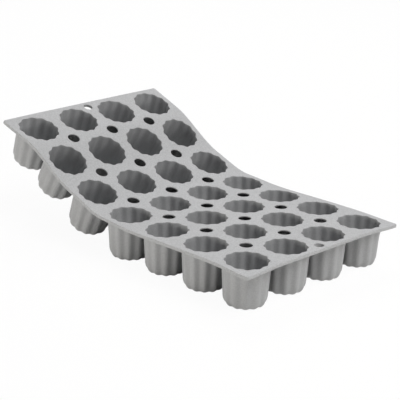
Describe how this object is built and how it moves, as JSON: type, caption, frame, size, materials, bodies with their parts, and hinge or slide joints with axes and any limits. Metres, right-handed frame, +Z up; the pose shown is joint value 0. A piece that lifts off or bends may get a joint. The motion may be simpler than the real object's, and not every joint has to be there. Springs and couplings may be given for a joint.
{
  "type": "canele mould",
  "caption": "Flexible silicone baking mould: a sheet with rows of fluted cups hanging below it, air vents between the cups and a hanging hole at each end. It bends between the rows.",
  "frame": {"origin": "on the surface that the level cups stand on, under the middle of the mould's box", "axes": "+X along the sheet from the raised end to the level end, +Y across it, +Z up"},
  "size_m": [0.294, 0.175, 0.0882],
  "materials": {
    "silicone": "matte moulded silicone with a very fine grain"
  },
  "bodies": {
    "row_1": {"flange_strip_1": "silicone", "cup_1_a": "silicone", "cup_1_b": "silicone", "cup_1_c": "silicone", "cup_1_d": "silicone"},
    "row_2": {"flange_strip_2": "silicone", "cup_2_a": "silicone", "cup_2_b": "silicone", "cup_2_c": "silicone", "cup_2_d": "silicone", "flex_web_1_2": "silicone"},
    "row_3": {"flange_strip_3": "silicone", "cup_3_a": "silicone", "cup_3_b": "silicone", "cup_3_c": "silicone", "cup_3_d": "silicone", "flex_web_2_3": "silicone"},
    "row_4": {"flange_strip_4": "silicone", "cup_4_a": "silicone", "cup_4_b": "silicone", "cup_4_c": "silicone", "cup_4_d": "silicone", "flex_web_3_4": "silicone", "flex_web_4_5": "silicone"},
    "row_5": {"flange_strip_5": "silicone", "cup_5_a": "silicone", "cup_5_b": "silicone", "cup_5_c": "silicone", "cup_5_d": "silicone", "flex_web_5_6": "silicone"},
    "row_6": {"flange_strip_6": "silicone", "cup_6_a": "silicone", "cup_6_b": "silicone", "cup_6_c": "silicone", "cup_6_d": "silicone", "flex_web_6_7": "silicone"},
    "row_7": {"flange_strip_7": "silicone", "cup_7_a": "silicone", "cup_7_b": "silicone", "cup_7_c": "silicone", "cup_7_d": "silicone"}
  },
  "joints": [
    {"name": "web_3_4_bend", "type": "hinge", "parent": "row_4", "child": "row_3", "pos_m": [-0.02451, 0, 0.03533], "axis": [0, 1, 0], "range_deg": [-37, 23], "deforming": ["flex_web_3_4"]},
    {"name": "web_2_3_bend", "type": "hinge", "parent": "row_3", "child": "row_2", "pos_m": [-0.06458, 0, 0.05093], "axis": [0, 1, 0], "range_deg": [-24, 36], "deforming": ["flex_web_2_3"]},
    {"name": "web_1_2_bend", "type": "hinge", "parent": "row_2", "child": "row_1", "pos_m": [-0.10175, 0, 0.0723], "axis": [0, 1, 0], "range_deg": [-4.5, 55.5], "deforming": ["flex_web_1_2"]},
    {"name": "web_4_5_bend", "type": "hinge", "parent": "row_4", "child": "row_5", "pos_m": [0.01845, 0, 0.0344], "axis": [0, -1, 0], "range_deg": [-15, 45], "deforming": ["flex_web_4_5"]},
    {"name": "web_5_6_bend", "type": "hinge", "parent": "row_5", "child": "row_6", "pos_m": [0.06135, 0, 0.0344], "axis": [0, -1, 0], "range_deg": [-15, 45], "deforming": ["flex_web_5_6"]},
    {"name": "web_6_7_bend", "type": "hinge", "parent": "row_6", "child": "row_7", "pos_m": [0.10425, 0, 0.0344], "axis": [0, -1, 0], "range_deg": [-15, 45], "deforming": ["flex_web_6_7"]}
  ]
}
